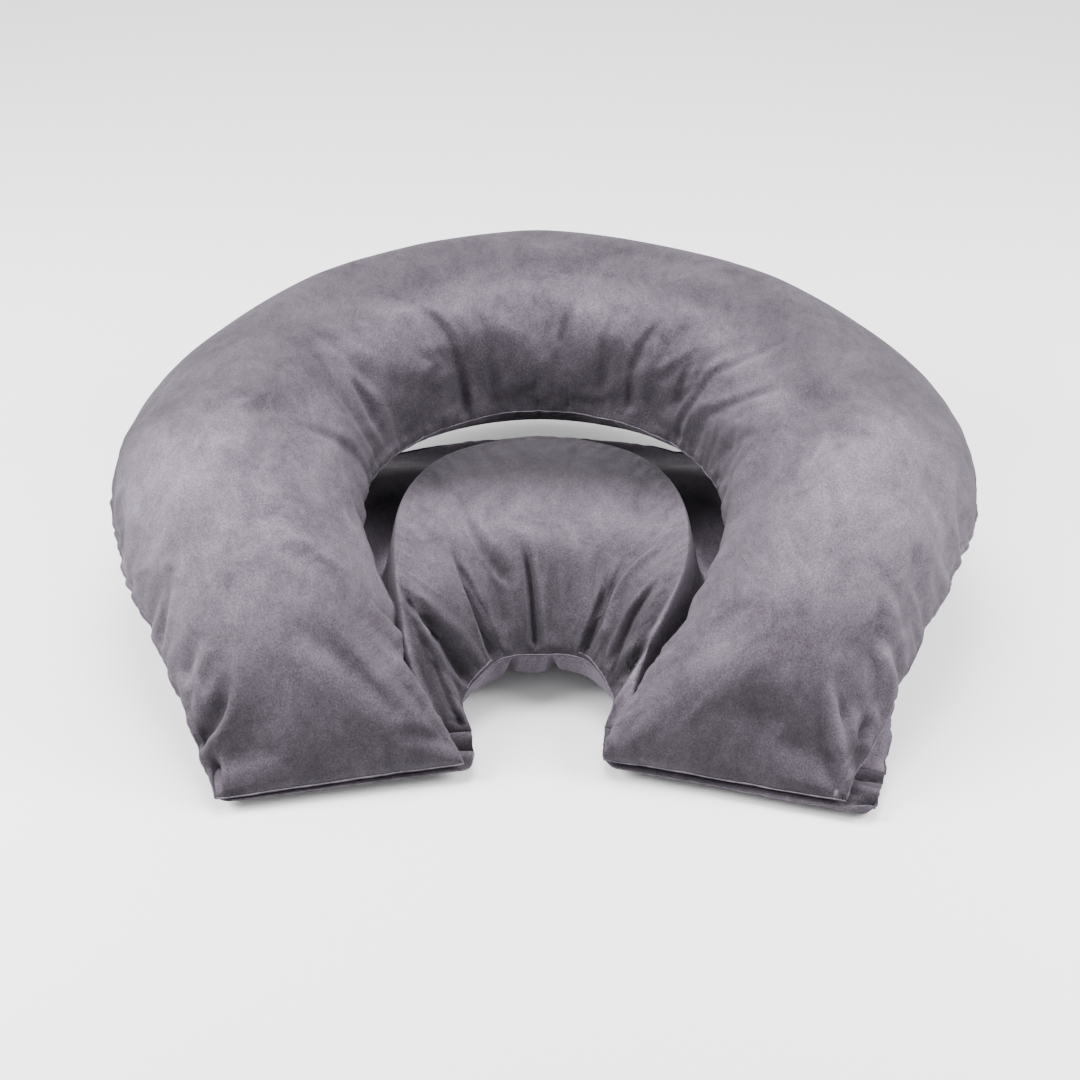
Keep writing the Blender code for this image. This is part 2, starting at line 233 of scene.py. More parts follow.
# Places across the panel where this painted shade and light begin, and their runs.
BOW_TURNS_AT = 0.28
BOW_OUTER_RUN = 0.16
BOW_INNER_RUN = 0.2
ARM_FROM = 0.2
ARM_RUN = 0.4
# Painted shade in folds, and stronger painted light on ridges.
FOLD_PAINTED_SHADE = 26.0
RIDGE_LIGHT_GAIN = 2.2
# Painted shade on the crown's far part under the bow, and on its front towards the arch seam, most at the
# middle.
BOW_PAINTED_SHADE = 0.98
BOW_FROM_Y = -0.035
BOW_RUN = 0.095
ARCH_PAINTED_SHADE = 0.68
ARCH_FROM_Y = -0.028
ARCH_RUN = 0.05
ARCH_SIDE_Y = -0.11
ARCH_SIDE_SHARE = 0.5
ARCH_SHADE_HALF = 0.075
# Painted light on the lower panel seen below the arch, slight painted shade beside it.
BELLY_PAINTED_LIGHT = -0.85
BELLY_SIDE_PAINTED_SHADE = 0.05
# Painted shade in the webs' folds.
WEB_FOLD_PAINTED_SHADE = 90.0
# In the valley round the crown: painted light at its front, full painted shade behind this place.
VALLEY_NEAR_PAINTED_LIGHT = -0.95
VALLEY_FAR_Y = 0.02
# The painted shade ends under the upper cushion, this far from the rim in units of its run. Then where
# the valley's painted shade and light give way to the crown's, and over what run.
HOLE_FROM = -4.5
HOLE_RUN = 1.5
VALLEY_SHADE_FROM = 0.35
VALLEY_SHADE_RUN = 0.45
# The webs' darker velvet is painted shade.
WEB_PAINTED_SHADE = 0.44
# The seams' lighter velvet is a painted highlight.
SEAM_PAINTED_HIGHLIGHT = 1.25

# The camera: its height angle, distance and view angle, and where its target lies in the frame.
FRAME_PIXELS = 1080
TARGET_PIXEL = (543, 505)
TARGET_HEIGHT = 0.15
CAMERA_LIFT = 32.0
CAMERA_DISTANCE = 2.6
CAMERA_ANGLE = 24.4

# Large soft lights: place, the point they are aimed at, size and power.
LAMPS = {
    "overhead": ((-0.1, 0.25, 2.6), (0.0, 0.0, 0.1), 1.6, 82.0),
    "left_side": ((-1.7, -0.4, 1.2), (-0.3, 0.0, 0.1), 1.0, 88.0),
    "right_side": ((1.7, -0.4, 1.2), (0.3, 0.0, 0.1), 1.0, 70.4),
}
FLOOR_SIZE = 14.0
FLOOR_COLOUR = (0.97, 0.97, 0.97, 1.0)
FLOOR_ROUGHNESS = 0.9
WORLD_STRENGTH = 1.06


class Build(NamedTuple):
    """Cells of a cushion's grid before it is refined, the run over which its legs swell from their
    sewn ends, and the powers that draw its panels in towards the seams."""
    stations: int
    around: int
    end_run: float
    top_power: float
    under_power: float


UPPER = Build(224, 104, 0.2, 1.08, 1.5)
LOWER = Build(190, 112, 0.12, 1.5, 1.0)


class Section(NamedTuple):
    """One section across a cushion, from its inner seam to its outer seam."""
    in_x: float
    in_y: float
    in_z: float
    out_x: float
    out_y: float
    out_z: float
    up: float
    down: float
    rim: float = 1.0


# Columns of a table of sections once it is an array.
INNER = slice(0, 3)
OUTER = slice(3, 6)
INNER_PLAN = slice(0, 2)
OUTER_PLAN = slice(3, 5)
UP, DOWN, RIM = 6, 7, 8


class Fold(NamedTuple):
    """A crease in a top panel from its thin end to its deep one. A negative depth makes a ridge."""
    from_x: float
    from_y: float
    to_x: float
    to_y: float
    depth: float
    half_width: float
    bend: float = 0.0
    lean: float = 0.0


class Web(NamedTuple):
    """Back and front edge of a cloth web, each from the inner to the outer side."""
    back_in: tuple
    back_out: tuple
    front_in: tuple
    front_out: tuple


UPPER_SECTIONS = [Section(*row) for row in (
    (-0.077, -0.272, 0.022, -0.315, -0.321, 0.018, 0.07, 0.004),
    (-0.108, -0.233, 0.055, -0.34, -0.264, 0.053, 0.09, 0.025),
    (-0.138, -0.203, 0.078, -0.366, -0.213, 0.083, 0.101, 0.031),
    (-0.149, -0.16, 0.104, -0.39, -0.165, 0.105, 0.108, 0.036),
    (-0.182, -0.072, 0.132, -0.432, -0.074, 0.13, 0.118, 0.04),
    (-0.188, 0.022, 0.142, -0.452, 0.045, 0.14, 0.124, 0.04),
    (-0.16, 0.108, 0.146, -0.408, 0.206, 0.142, 0.13, 0.042),
    (-0.092, 0.17, 0.149, -0.264, 0.368, 0.132, 0.149, 0.046),
    (-0.002, 0.197, 0.15, 0.0, 0.447, 0.125, 0.16, 0.048),
    (0.092, 0.168, 0.149, 0.266, 0.364, 0.132, 0.147, 0.046),
    (0.16, 0.104, 0.146, 0.414, 0.203, 0.142, 0.13, 0.042),
    (0.188, 0.015, 0.142, 0.457, 0.048, 0.14, 0.124, 0.04),
    (0.185, -0.078, 0.132, 0.428, -0.07, 0.13, 0.118, 0.04),
    (0.146, -0.158, 0.104, 0.38, -0.165, 0.105, 0.108, 0.036),
    (0.092, -0.221, 0.062, 0.336, -0.243, 0.058, 0.092, 0.026),
    (0.066, -0.255, 0.034, 0.306, -0.296, 0.036, 0.078, 0.01),
    (0.059, -0.265, 0.022, 0.29, -0.326, 0.019, 0.07, 0.004),
)]

LOWER_SECTIONS = [Section(*row) for row in (
    (-0.071, -0.224, 0.026, -0.322, -0.272, 0.018, 0.06, 0.022, 0.12),
    (-0.08, -0.192, 0.042, -0.346, -0.16, 0.046, 0.085, 0.05, 0.2),
    (-0.053, -0.155, 0.056, -0.345, -0.01, 0.055, 0.098, 0.06, 0.34),
    (-0.03, -0.144, 0.06, -0.25, 0.23, 0.045, 0.1, 0.06, 0.49),
    (-0.003, -0.142, 0.06, 0.0, 0.335, 0.035, 0.113, 0.06, 0.6),
    (0.026, -0.143, 0.06, 0.25, 0.23, 0.045, 0.1, 0.06, 0.49),
    (0.048, -0.153, 0.056, 0.345, -0.01, 0.055, 0.098, 0.06, 0.33),
    (0.07, -0.189, 0.042, 0.352, -0.16, 0.046, 0.085, 0.05, 0.08),
    (0.061, -0.22, 0.026, 0.334, -0.282, 0.018, 0.06, 0.022, 0.03),
)]

UPPER_FOLDS = [Fold(*row) for row in (
    (-0.146, 0.222, -0.085, 0.18, 0.0081, 0.0085, 0.003, -0.45),
    (-0.112, 0.222, -0.076, 0.19, 0.0031, 0.0059, 0.0, -0.3),
    (-0.262, 0.173, -0.19, 0.128, 0.0043, 0.0068, -0.004, 0.35),
    (-0.209, 0.12, -0.18, 0.103, 0.0056, 0.0059, 0.0, 0.3),
    (-0.235, 0.095, -0.186, 0.078, 0.0031, 0.0059, 0.002, 0.2),
    (-0.26, 0.015, -0.194, 0.043, 0.0043, 0.0072, -0.003, -0.3),
    (-0.078, 0.226, -0.056, 0.196, 0.0037, 0.0068, 0.001, -0.3),
    (0.037, 0.24, 0.02, 0.21, 0.005, 0.0055, -0.001, 0.4),
    (0.005, 0.232, 0.002, 0.208, 0.0019, 0.0051, 0.0, 0.2),
    (0.085, 0.232, 0.066, 0.198, 0.0031, 0.0055, 0.001, 0.3),
    (0.13, 0.206, 0.097, 0.18, 0.0056, 0.0055, 0.002, 0.35),
    (0.166, 0.168, 0.146, 0.144, 0.0043, 0.0051, -0.001, 0.3),
    (0.275, 0.154, 0.146, 0.128, 0.0062, 0.0059, 0.006, 0.4),
    (0.215, 0.158, 0.16, 0.142, 0.0025, 0.0051, 0.0, 0.4),
    (0.266, 0.064, 0.156, 0.112, 0.0043, 0.0059, 0.004, 0.3),
    (0.229, 0.017, 0.19, 0.053, 0.0037, 0.0076, 0.002, 0.2),
    (-0.373, -0.169, -0.376, -0.18, 0.006, 0.004),
    (-0.339, -0.221, -0.346, -0.227, 0.004, 0.0045),
    (-0.336, -0.235, -0.345, -0.248, 0.008, 0.0036, 0.0, -0.2),
    (-0.315, -0.243, -0.339, -0.261, -0.004, 0.006),
    (-0.302, -0.25, -0.337, -0.274, 0.018, 0.0085, 0.01, -0.45),
    (-0.298, -0.246, -0.322, -0.281, -0.005, 0.004, 0.014),
    (-0.316, -0.29, -0.316, -0.314, 0.012, 0.0055, 0.004, -0.4),
    (-0.313, -0.287, -0.314, -0.314, -0.004, 0.003, 0.006),
    (0.276, -0.245, 0.297, -0.305, -0.011, 0.007, -0.005, -0.3),
    (0.284, -0.26, 0.296, -0.28, 0.006, 0.004),
    (0.303, -0.244, 0.322, -0.253, -0.004, 0.0045),
    (0.314, -0.254, 0.304, -0.295, 0.01, 0.0065, 0.002),
    (0.272, -0.288, 0.284, -0.316, 0.006, 0.006),
    (0.33, -0.19, 0.318, -0.225, 0.004, 0.005, 0.002, 0.2),
    (0.3, -0.175, 0.352, -0.186, 0.003, 0.005, 0.003),
    (-0.26, -0.176, -0.303, -0.204, 0.002, 0.009, 0.004),
    (-0.12, -0.205, -0.104, -0.238, 0.003, 0.005, 0.002, 0.2),
    (-0.365, -0.167, -0.376, -0.184, 0.005, 0.005, 0.001),
    (-0.358, -0.17, -0.371, -0.192, -0.003, 0.0045, 0.001),
    (-0.332, -0.22, -0.345, -0.228, 0.005, 0.0045, 0.001),
    (-0.316, -0.232, -0.339, -0.233, -0.003, 0.0045),
    (-0.318, -0.237, -0.328, -0.249, 0.005, 0.004, 0.001),
    (0.314, -0.216, 0.346, -0.225, -0.004, 0.006, -0.002),
    (0.328, -0.215, 0.353, -0.212, 0.005, 0.005, 0.001),
)]

LOWER_FOLDS = [Fold(*row) for row in (
    (-0.082, -0.012, -0.042, -0.085, 0.0062, 0.0056, -0.006, 0.35),
    (-0.095, -0.05, -0.051, -0.15, 0.0074, 0.0048, -0.007, 0.4),
    (-0.066, -0.07, -0.04, -0.12, 0.0031, 0.0048, 0.003),
    (-0.024, -0.04, -0.01, -0.133, 0.0087, 0.0042, 0.002, 0.5),
    (0.012, -0.06, 0.012, -0.125, 0.0025, 0.0056, -0.002),
    (0.067, -0.085, 0.042, -0.146, 0.0068, 0.0062, 0.003, 0.3),
    (0.086, -0.07, 0.06, -0.132, 0.0037, 0.0048, -0.002, 0.2),
    (0.128, -0.06, 0.06, -0.138, -0.005, 0.0048, -0.006, 0.2),
    (0.122, -0.115, 0.074, -0.163, 0.0074, 0.0056, -0.004, 0.3),
    (-0.148, -0.12, -0.072, -0.176, 0.0099, 0.0076, -0.012, 0.3),
    (-0.138, -0.118, -0.08, -0.216, -0.0056, 0.0055, -0.008, 0.2),
    (-0.118, -0.165, -0.079, -0.224, 0.005, 0.0051, -0.003, 0.2),
    (0.14, -0.12, 0.074, -0.205, -0.005, 0.0055, 0.006, 0.2),
    (0.132, -0.165, 0.072, -0.18, 0.0081, 0.0076, 0.004, 0.2),
)]

WEB_FOLDS = [Fold(*row) for row in (
    (-0.1, -0.231, -0.066, -0.233, -0.003, 0.0045, 0.001),
    (-0.1, -0.241, -0.066, -0.243, 0.007, 0.0044, -0.001),
    (-0.1, -0.258, -0.066, -0.258, -0.004, 0.005, 0.001),
    (0.082, -0.24, 0.058, -0.235, -0.002, 0.004, 0.001),
    (0.078, -0.245, 0.057, -0.248, 0.006, 0.003, 0.001),
    (0.29, -0.288, 0.336, -0.292, 0.005, 0.005, 0.002),
    (0.292, -0.302, 0.322, -0.312, -0.004, 0.0055, 0.003),
    (0.296, -0.324, 0.32, -0.319, 0.005, 0.005),
    (0.284, -0.33, 0.312, -0.33, -0.003, 0.005),
)]

WEBS = {
    "hinge_left": Web(
        (-0.071, -0.2255, 0.0245),
        (-0.321, -0.2735, 0.0165),
        (-0.067, -0.271, 0.015),
        (-0.314, -0.32, 0.012),
    ),
    "hinge_right": Web(
        (0.061, -0.2215, 0.0245),
        (0.333, -0.2835, 0.0165),
        (0.059, -0.264, 0.0135),
        (0.315, -0.339, 0.011),
    ),
}


def smooth_step(share):
    """Rise from 0 to 1 with level ends."""
    share = np.clip(share, 0.0, 1.0)
    return share * share * (3.0 - 2.0 * share)


def soft_min(first, second, blend):
    """The smaller of two heights, rounded where they cross."""
    share = np.clip(0.5 + 0.5 * (second - first) / blend, 0.0, 1.0)
    return second + (first - second) * share - blend * share * (1.0 - share)


def meeting_height(y):
    """Height of the surface on which the upper cushion lies on the lower one."""
    front = FRONT_FALL * smooth_step((FRONT_FALL_FROM_Y - y) / FRONT_FALL_RUN)
    back = BACK_FALL * smooth_step((y - BACK_FALL_FROM_Y) / BACK_FALL_RUN)
    return MEET_Z - front - back


def curve_through(rows, count):
    """Points on a smooth curve through the rows, even in parameter."""
    table = np.asarray(rows, float)
    first = 2.0 * table[0] - table[1]
    last = 2.0 * table[-1] - table[-2]
    padded = np.vstack([first, table, last])
    place = np.linspace(0.0, len(table) - 1.0, count)
    span = np.minimum(place.astype(int), len(table) - 2)
    t = (place - span)[:, None]
    p0, p1, p2, p3 = (padded[span + k] for k in range(4))
    linear = p2 - p0
    square = 2.0 * p0 - 5.0 * p1 + 4.0 * p2 - p3
    cube = 3.0 * p1 - p0 - 3.0 * p2 + p3
    return 0.5 * (2.0 * p1 + linear * t + square * t ** 2 + cube * t ** 3)


def even_sections(rows, count):
    """Sections evenly spaced along the cushion's middle line, with their distance to the nearer end."""
    fine = curve_through(rows, FINE_STATIONS)
    run = run_lengths((fine[:, INNER_PLAN] + fine[:, OUTER_PLAN]) / 2.0)
    places = np.linspace(0.0, run[-1], count)
    columns = [np.interp(places, run, fine[:, k]) for k in range(fine.shape[1])]
    to_end = np.minimum(places, run[-1] - places)
    return np.stack(columns, axis=1), to_end


def swell(to_end, run):
    """Share of full thickness at a distance from the flat sewn end."""
    share = np.clip(to_end / run, 0.0, 1.0)
    return np.sqrt(1.0 - (1.0 - share) ** END_ROUNDNESS)


def section_widths(sections):
    """Distance from the inner to the outer seam, seen in plan."""
    return np.linalg.norm(sections[:, OUTER_PLAN] - sections[:, INNER_PLAN], axis=1)


def width_shares(sections, fullness, around):
    """Places of the ring's points across the width, gathered at the seams and at the crown's rim."""
    half = around // 2
    turn = 2.0 * np.pi * np.arange(around) / around
    plain = (1.0 - np.cos(turn)) / 2.0
    shares = np.tile(plain, (len(sections), 1))
    width = section_widths(sections)
    reach = 0.5 * RIM_RUN / width
    step = np.arange(half + 1) / half
    for i, share in enumerate(sections[:, RIM]):
        if share >= 1.0:
            continue
        near = max(share - reach[i], RIM_LEAST)
        far = share + reach[i] + VALLEY_RUN / width[i]
        eased = np.interp(step, (RIM_FROM, RIM_TO), (near, far))
        start = near * (1.0 - np.cos(np.clip(step / RIM_FROM, 0.0, 1.0) * np.pi / 2.0))
        eased = np.where(step < RIM_FROM, start, eased)
        end_step = np.clip((step - RIM_TO) / (1.0 - RIM_TO), 0.0, 1.0)
        end = far + (1.0 - far) * np.sin(end_step * np.pi / 2.0)
        eased = np.where(step > RIM_TO, end, eased)
        shares[i, :half + 1] = plain[:half + 1] + (eased - plain[:half + 1]) * fullness[i]
    return shares


def cushion_rings(rows, build):
    """Rings of points round a cushion, before the cushions press on each other."""
    sections, to_end = even_sections(rows, build.stations)
    fullness = swell(to_end, build.end_run)
    shares = width_shares(sections, fullness, build.around)
    inner = sections[:, None, INNER]
    outer = sections[:, None, OUTER]
    rings = inner + (outer - inner) * shares[:, :, None]
    on_top = np.arange(build.around) <= build.around // 2
    bow = 2.0 * np.sqrt(np.clip(shares * (1.0 - shares), 0.0, 1.0))
    lift = bow ** np.where(on_top, build.top_power, build.under_power)
    panel = np.where(on_top, sections[:, None, UP], -sections[:, None, DOWN])
    rings[:, :, 2] += lift * panel * fullness[:, None]
    return rings, sections, shares, on_top


def push_belly(rings, sections, shares, on_top):
    """Push the lower panel out below the arch seam, most at the middle of the arch."""
    inward = (sections[:, INNER_PLAN] - sections[:, OUTER_PLAN]) / section_widths(sections)[:, None]
    swing = np.sin(np.pi * np.clip(shares / BELLY_SHARE, 0.0, 1.0))
    along = np.sin(np.pi * np.linspace(0.0, 1.0, len(rings)))
    push = np.where(on_top, 0.0, BELLY * swing * along[:, None])
    rings[:, :, 0:2] += inward[:, None] * push[:, :, None]
    return rings


class Panels(NamedTuple):
    """A cushion's two panels: grids of points from the inner seam to the outer one."""
    top: np.ndarray
    bottom: np.ndarray


def as_panels(rings):
    """Split rings into a top and a bottom panel that share their seams and sewn ends."""
    around = rings.shape[1]
    back = (around - np.arange(around // 2 + 1)) % around
    top = rings[:, :around // 2 + 1].copy()
    bottom = rings[:, back].copy()
    bottom[0], bottom[-1] = top[0], top[-1]
    return Panels(top, bottom)


def unit(vectors):
    """Vectors at length 1."""
    return vectors / np.maximum(np.linalg.norm(vectors, axis=-1, keepdims=True), TINY)


def panel_normals(panel):
    """Unit normals of a panel's grid, on its upper side."""
    normals = unit(np.cross(np.gradient(panel, axis=0), np.gradient(panel, axis=1)))
    middle = normals[panel.shape[0] // 2, panel.shape[1] // 2, 2]
    return normals if middle > 0.0 else -normals


def distances(panel, origin):
    """Distance of each point of a grid from the origin given for it."""
    return np.linalg.norm(panel - origin, axis=2)


def nearest_on_fold(points, fold):
    """Distance of points in plan from a fold's bent line, the share along it, and their side of it."""
    start = np.array([fold.from_x, fold.from_y])
    run = np.array([fold.to_x, fold.to_y]) - start
    across = np.array([-run[1], run[0]]) / np.linalg.norm(run)
    steps = np.linspace(0.0, 1.0, FOLD_PIECES + 1)
    line = start + run * steps[:, None] + across * (4.0 * fold.bend * steps * (1.0 - steps))[:, None]
    nearest = np.full(len(points), np.inf)
    share = np.zeros(len(points))
    side = np.zeros(len(points))
    for k in range(FOLD_PIECES):
        piece = line[k + 1] - line[k]
        offset = points - line[k]
        along = np.clip(offset @ piece / (piece @ piece), 0.0, 1.0)
        gap = np.linalg.norm(offset - along[:, None] * piece, axis=1)
        closer = gap < nearest
        nearest[closer] = gap[closer]
        share[closer] = (k + along[closer]) / FOLD_PIECES
        turn = piece[0] * offset[:, 1] - piece[1] * offset[:, 0]
        side[closer] = np.sign(turn[closer])
    return nearest, share, side


def fold_depths(panel, folds):
    """Depth of the folds at each point: a crease that deepens towards the seam, swollen beside it."""
    points = panel[:, :, 0:2].reshape(-1, 2)
    depth = np.zeros(len(points))
    for fold in folds:
        middle = np.array([fold.from_x + fold.to_x, fold.from_y + fold.to_y]) / 2.0
        reach = np.hypot(fold.to_x - fold.from_x, fold.to_y - fold.from_y) + FOLD_REACH
        near = np.flatnonzero(np.linalg.norm(points - middle, axis=1) < reach)
        gap, share, side = nearest_on_fold(points[near], fold)
        width = fold.half_width * (FOLD_THIN_END + (1.0 - FOLD_THIN_END) * share)
        width = np.maximum(width, FOLD_LEAST_WIDTH)
        distance = gap / (width * (1.0 + fold.lean * side))
        crease = np.exp(-distance ** FOLD_POWER)
        swell_beside = np.exp(-((distance - FOLD_SWELL_AT) / FOLD_SWELL_WIDTH) ** 2)
        strength = fold.depth * smooth_step(share / FOLD_TAPER)
        depth[near] += strength * (crease - FOLD_SWELL * swell_beside)
    return depth.reshape(panel.shape[:2])


def eased_along(field):
    """Soften the steps from one station to the next."""
    for _ in range(2):
        padded = np.concatenate([field[:1], field, field[-1:]])
        field = (padded[:-2] + 2.0 * padded[1:-1] + padded[2:]) / 4.0
    return field


def twice_as_fine(panel):
    """Halve the cells of a panel's grid, on smooth curves."""
    for axis in (0, 1):
        points = np.moveaxis(panel, axis, 0)
        first = 2.0 * points[0] - points[1]
        last = 2.0 * points[-1] - points[-2]
        padded = np.concatenate([first[None], points, last[None]])
        middle = (9.0 * (points[:-1] + points[1:]) - padded[:-3] - padded[3:]) / 16.0
        finer = np.empty((2 * len(points) - 1,) + points.shape[1:])
        finer[0::2] = points
        finer[1::2] = middle
        panel = np.moveaxis(finer, 0, axis)
    return panel


def blurred(field, reach):
    """Average of a grid of numbers over a square window, run twice."""
    for _ in range(2):
        for axis in (0, 1):
            moved = np.moveaxis(field, axis, 0)
            padded = np.concatenate([moved[:1].repeat(reach, 0), moved, moved[-1:].repeat(reach, 0)])
            total = np.cumsum(np.concatenate([np.zeros_like(padded[:1]), padded]), axis=0)
            span = 2 * reach + 1
            field = np.moveaxis((total[span:] - total[:-span]) / span, 0, axis)
    return field


def rough_line(length, wavelength, seed):
    """Smooth random numbers from -1 to 1 along a line."""
    source = np.random.default_rng(seed)
    knots = max(int(length[-1] / wavelength), 2) + 3
    values = source.uniform(-1.0, 1.0, knots)
    place = length / wavelength + 1.0
    index = np.clip(place.astype(int), 1, knots - 2)
    share = smooth_step(place - index)
    return values[index] * (1.0 - share) + values[np.minimum(index + 1, knots - 1)] * share


def gathered_line(length, wavelength, seed):
    """Round lobes with sharp creases between them, along a line."""
    return ROUND_GAIN * np.abs(rough_line(length, wavelength, seed)) ** ROUND_POWER - ROUND_GAIN / 2.0


def run_lengths(line):
    """Distance along a line of points."""
    steps = np.linalg.norm(np.diff(line, axis=0), axis=1)
    return np.concatenate([[0.0], np.cumsum(steps)])


def seam_puckers(panel, seed, inner_height, outer_height):
    """Small gathers that start at the seams and die out across the panel."""
    height = np.zeros(panel.shape[:2])
    for column, size, first in ((0, inner_height, seed), (-1, outer_height, seed + OUTER_PUCKER_SEED)):
        run = run_lengths(panel[:, column])
        distance = distances(panel, panel[:, column][:, None])
        patches = np.abs(rough_line(run, PUCKER_PATCH, first + PATCH_SEED))
        strength = PUCKER_LEAST + (1.0 - PUCKER_LEAST) * patches
        for k, (wavelength, reach, share) in enumerate(PUCKER_SCALES):
            wave = gathered_line(run, wavelength, first + k) * strength
            fade = np.exp(-distance / reach) * smooth_step(distance / PUCKER_START)
            height += size * share * wave[:, None] * fade
    return height


def near_line(panel, line):
    """Fades from 1 on a line of points to 0 a short way off, for each point of a grid."""
    return np.exp(-(distances(panel, line) / WAVE_REACH) ** WAVE_FADE_POWER)


def level_ends(run):
    """Rises from 0 at both ends of a line to 1 a short way in."""
    return smooth_step(np.minimum(run, run[-1] - run) / SEAM_FADE_RUN)


def wavy_seams(panels, seed, inner_size, outer_size):
    """Draw the seams in and out a little, and both panels beside them with them."""
    top, bottom = panels.top.copy(), panels.bottom.copy()
    sides = ((0, inner_size, seed + INNER_WAVE_SEED), (-1, outer_size, seed + OUTER_WAVE_SEED))
    for column, size, first in sides:
        seam = panels.top[:, column]
        outward = unit((seam - panels.top[:, -1 - column]) * (1.0, 1.0, 0.0))
        run = run_lengths(seam)
        shift = size * level_ends(run) * sum(
            share * gathered_line(run, pitch, first + k) for k, (pitch, share) in enumerate(SEAM_WAVES))
        for panel, old in ((top, panels.top), (bottom, panels.bottom)):
            panel += (outward * shift[:, None])[:, None] * near_line(old, seam[:, None])[:, :, None]
    bottom[:, 0], bottom[:, -1] = top[:, 0], top[:, -1]
    return Panels(top, bottom)


def wavy_ends(panels, seed):
    """Bend the flat sewn ends up and down a little, and both panels near them with them."""
    top, bottom = panels.top.copy(), panels.bottom.copy()
    for row, first in zip((0, -1), HEM_SEEDS):
        run = run_lengths(panels.top[row])
        wave = level_ends(run) * sum(
            height * rough_line(run, pitch, seed + first + k)
            for k, (pitch, height) in enumerate(HEM_WAVES))
        for panel in (top, bottom):
            panel[:, :, 2] += wave * near_line(panel, panel[row])
    return Panels(top, bottom)


def quads(index):
    """Faces between neighbouring rows and columns of numbered points."""
    corners = (index[:-1, :-1], index[1:, :-1], index[1:, 1:], index[:-1, 1:])
    return np.stack(corners, axis=-1).reshape(-1, 4)


def turned_over(faces):
    """Faces with their corners in the other order, from the same first corner."""
    return np.roll(faces[:, ::-1], 1, axis=1)


def add_object(name, points, faces, materials):
    """Add a smooth mesh whose points are in the frame of the tables above."""
    mesh = bpy.data.meshes.new(name)
    mesh.from_pydata((points - CENTRE).tolist(), [], faces)
    mesh.shade_smooth()
    for material in materials:
        mesh.materials.append(material)
    made = bpy.data.objects.new(name, mesh)
    bpy.context.collection.objects.link(made)
    return made


def store_painted_shade(cloth, values):
    """Store the painted shade at each vertex for the material: darker where positive, painted light where
    negative.
    """
    nap = cloth.data.attributes.new("painted_light_and_shade", "FLOAT", "POINT")
    nap.data.foreach_set("value", values)


def add_panels(name, panels, materials=()):
    """Add one closed mesh of the two panels. Also gives the number of each grid point's vertex."""
    rows, columns = panels.top.shape[:2]
    top_index = np.arange(rows * columns).reshape(rows, columns)
    bottom_index = top_index.copy()
    inside = (rows - 2) * (columns - 2)
    bottom_index[1:-1, 1:-1] = rows * columns + np.arange(inside).reshape(rows - 2, columns - 2)
    points = np.concatenate([panels.top.reshape(-1, 3), panels.bottom[1:-1, 1:-1].reshape(-1, 3)])
    faces = np.concatenate([quads(top_index), quads(bottom_index)[:, ::-1]])
    cover = add_object(name, points, faces.tolist(), materials)
    cover.data.validate()
    return cover, top_index, bottom_index


def simulated(name, panels, top_held):
    """Let a cover that is cut a little too large wrinkle over its filling, and give its top panel.

    It is held at the seams, at the ends and underneath.
    """
    cover, top_index, _ = add_panels(name, panels)
    held = np.ones(len(cover.data.vertices))
    held[top_index[1:-1, 1:-1]] = top_held[1:-1, 1:-1]
    group = cover.vertex_groups.new(name="held")
    for level in np.unique(np.round(held, 1)):
        members = np.flatnonzero(np.round(held, 1) == level)
        group.add(members.tolist(), float(level), "REPLACE")
    cloth = cover.modifiers.new("Cloth", "CLOTH")
    for setting, value in SIM_SETTINGS.items():
        setattr(cloth.settings, setting, value)
    cloth.settings.vertex_group_mass = "held"
    cloth.settings.effector_weights.gravity = 0.0
    cloth.collision_settings.use_collision = False
    cloth.point_cache.frame_start = 1
    cloth.point_cache.frame_end = SIM_FRAMES
    scene = bpy.context.scene
    for step in range(1, SIM_FRAMES + 1):
        scene.frame_set(step)
    settled = cover.evaluated_get(bpy.context.evaluated_depsgraph_get()).data
    points = np.empty(len(settled.vertices) * 3)
    settled.vertices.foreach_get("co", points)
    scene.frame_set(1)
    bpy.data.objects.remove(cover, do_unlink=True)
    return points.reshape(-1, 3)[top_index] + CENTRE


def wrinkled(name, panels, held, share):
    """The top panel with a share of the simulation's wrinkles, up to a cap, but not its swelling."""
    before = panels.top
    normals = panel_normals(before)
    height = np.sum((simulated(name, panels, held) - before) * normals, axis=2)
    height -= SWELL_REMOVED * blurred(height, SWELL_BLUR)
    height = WRINKLE_CAP * np.tanh(share * height / WRINKLE_CAP)
    height[:, [0, -1]] = 0.0
    height[[0, -1]] = 0.0
    return before + normals * height[:, :, None]


def upper_base():
    """The horseshoe cushion's two panels, flat below where it lies on the lower one."""
    rings, _, _, on_top = cushion_rings(UPPER_SECTIONS, UPPER)
    floor = meeting_height(rings[:, :, 1]) + 0.5 * MEET_GAP
    pressed = -soft_min(-rings[:, :, 2], -floor, PANEL_BLEND / 2.0)
    rings[:, :, 2] = np.where(on_top, rings[:, :, 2], pressed)
    return as_panels(rings)


